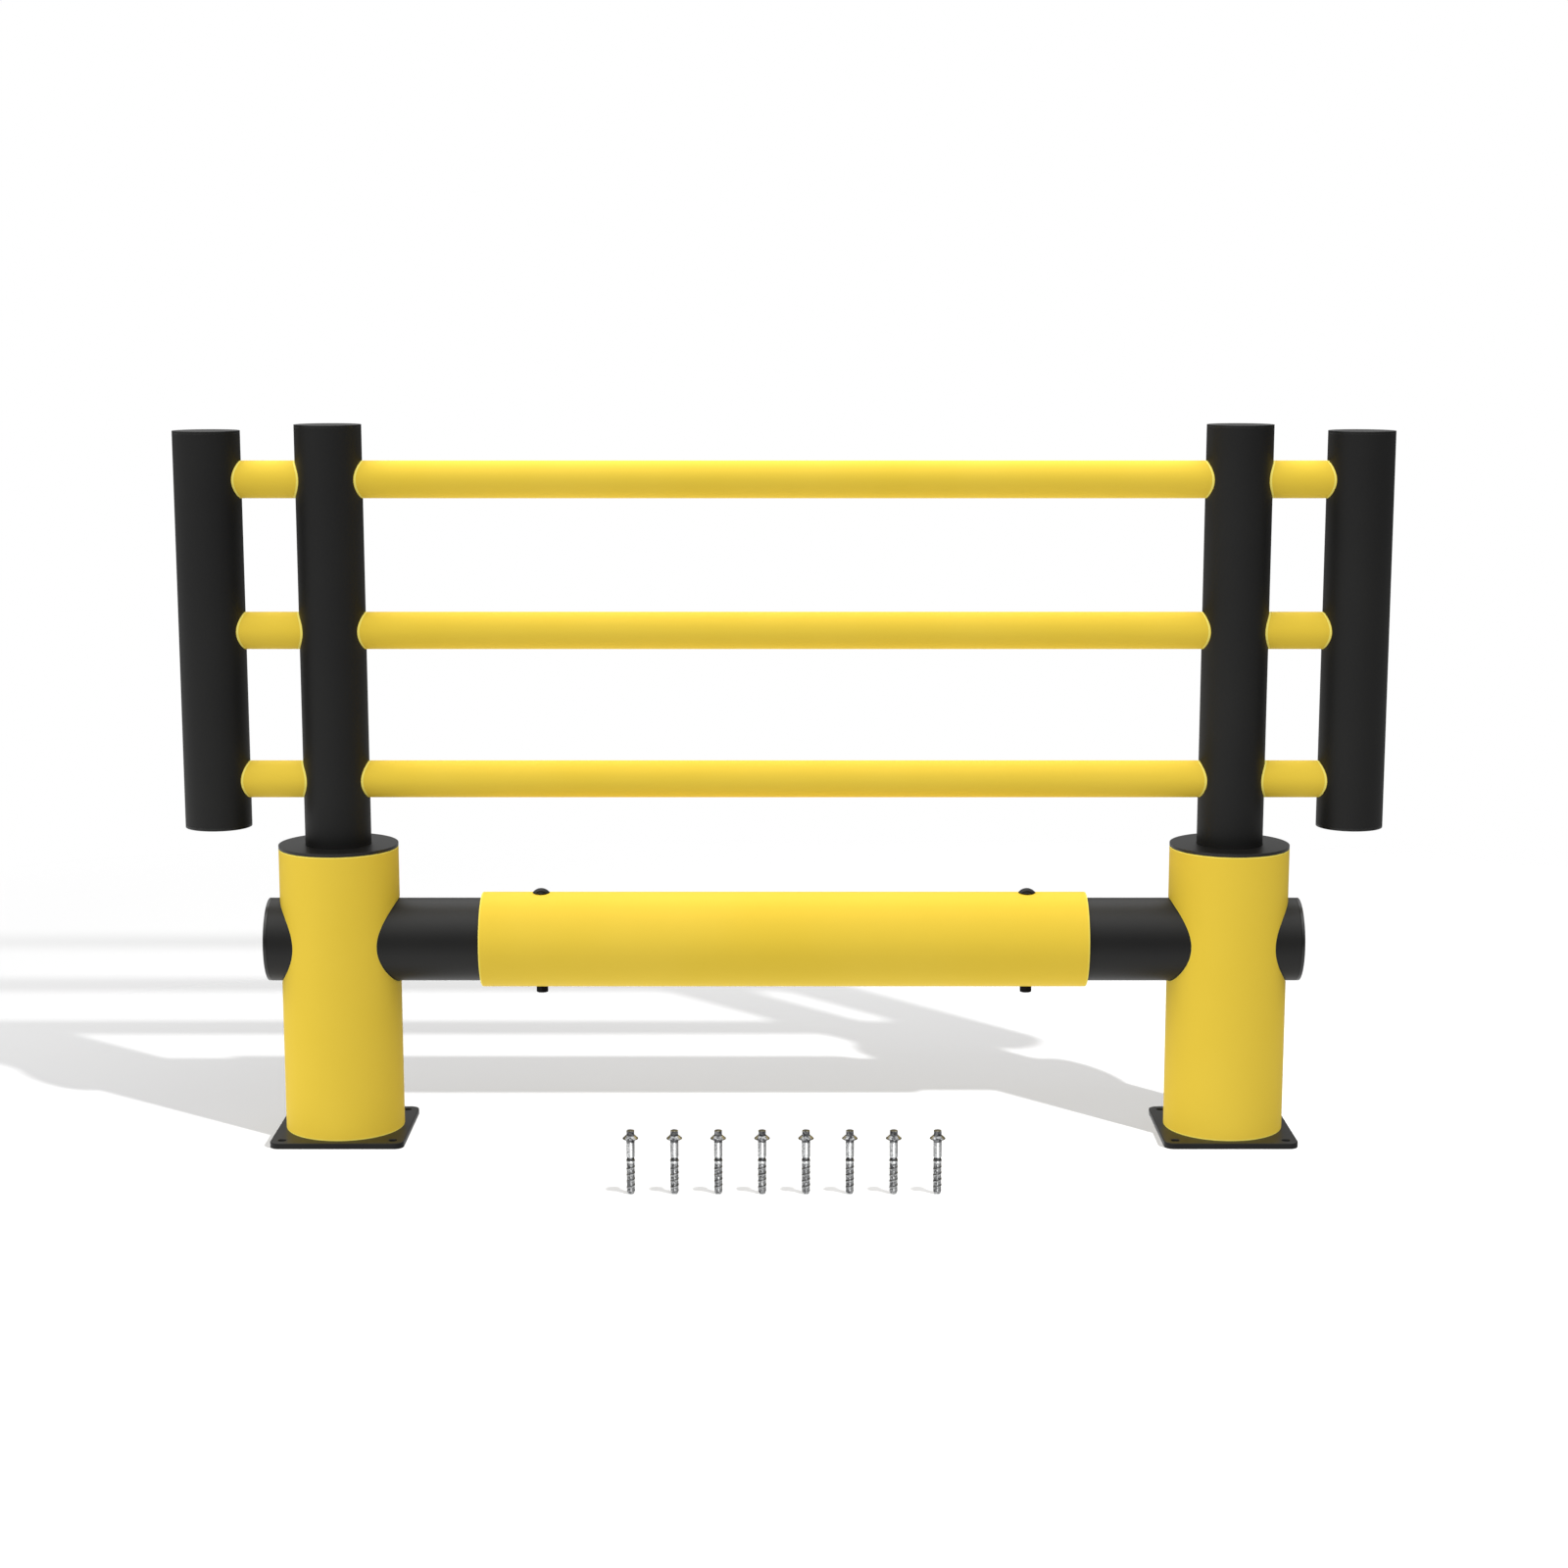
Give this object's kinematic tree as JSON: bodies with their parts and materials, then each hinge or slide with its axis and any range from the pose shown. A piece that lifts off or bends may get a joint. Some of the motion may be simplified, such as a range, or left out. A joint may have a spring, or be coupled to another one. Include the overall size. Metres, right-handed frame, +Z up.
{
  "type": "polymer traffic impact barrier with handrail",
  "caption": "Floor-mounted polymer impact barrier: a yellow tube beam on black connectors between stout yellow posts, with a tubular pedestrian handrail above that overhangs each post.",
  "frame": {"origin": "on the floor, midway between the two floor posts, in the barrier's middle plane", "axes": "+X along the barrier, -Y towards the front where the loose anchors stand, +Z up"},
  "size_m": [2.01, 0.475, 1.2],
  "materials": {
    "yellow_polymer": "satin",
    "black_polymer": "matte",
    "powder_coated_steel": "satin",
    "black_fasteners": "gloss",
    "zinc_plated_steel": "bright",
    "glass_fibre_rod": "matte"
  },
  "bodies": {
    "barrier": {"base_plate_left": "powder_coated_steel", "base_plate_right": "powder_coated_steel", "base_spigot_left": "powder_coated_steel", "base_spigot_right": "powder_coated_steel", "tie_rod_bosses": "powder_coated_steel", "floor_post_left": "yellow_polymer", "floor_post_right": "yellow_polymer", "beam_connector_left": "black_polymer", "beam_connector_right": "black_polymer", "connector_cap_left": "black_polymer", "connector_cap_right": "black_polymer", "beam_bolts": "black_fasteners", "beam_nuts": "black_fasteners", "handrail_seat_left": "black_polymer", "handrail_seat_right": "black_polymer", "post_collar_left": "black_polymer", "post_collar_right": "black_polymer", "handrail_post_left": "black_polymer", "handrail_post_right": "black_polymer", "foot_plug_left": "black_polymer", "foot_plug_right": "black_polymer", "foot_screws": "zinc_plated_steel", "tie_rods": "zinc_plated_steel", "tie_washers": "zinc_plated_steel", "tie_nuts": "zinc_plated_steel", "end_post_left": "black_polymer", "end_post_right": "black_polymer", "bottom_rail": "yellow_polymer", "middle_rail": "yellow_polymer", "top_rail": "yellow_polymer", "handrail_cap_left": "black_polymer", "handrail_cap_right": "black_polymer", "end_cap_top_left": "black_polymer", "end_cap_top_right": "black_polymer", "end_cap_bottom_left": "black_polymer", "end_cap_bottom_right": "black_polymer", "rail_pins": "glass_fibre_rod", "end_rail_pins": "glass_fibre_rod"},
    "beam": {"beam_sleeve": "yellow_polymer"},
    "anchors": {"floor_anchors": "zinc_plated_steel"}
  },
  "joints": [
    {"name": "beam_float", "type": "slide", "parent": "barrier", "child": "beam", "axis": [1, 0, 0], "range_m": [-0.0065, 0.0065]},
    {"name": "anchors_lift", "type": "slide", "parent": "barrier", "child": "anchors", "axis": [0, 0, 1], "range_m": [0, 0.12]}
  ]
}
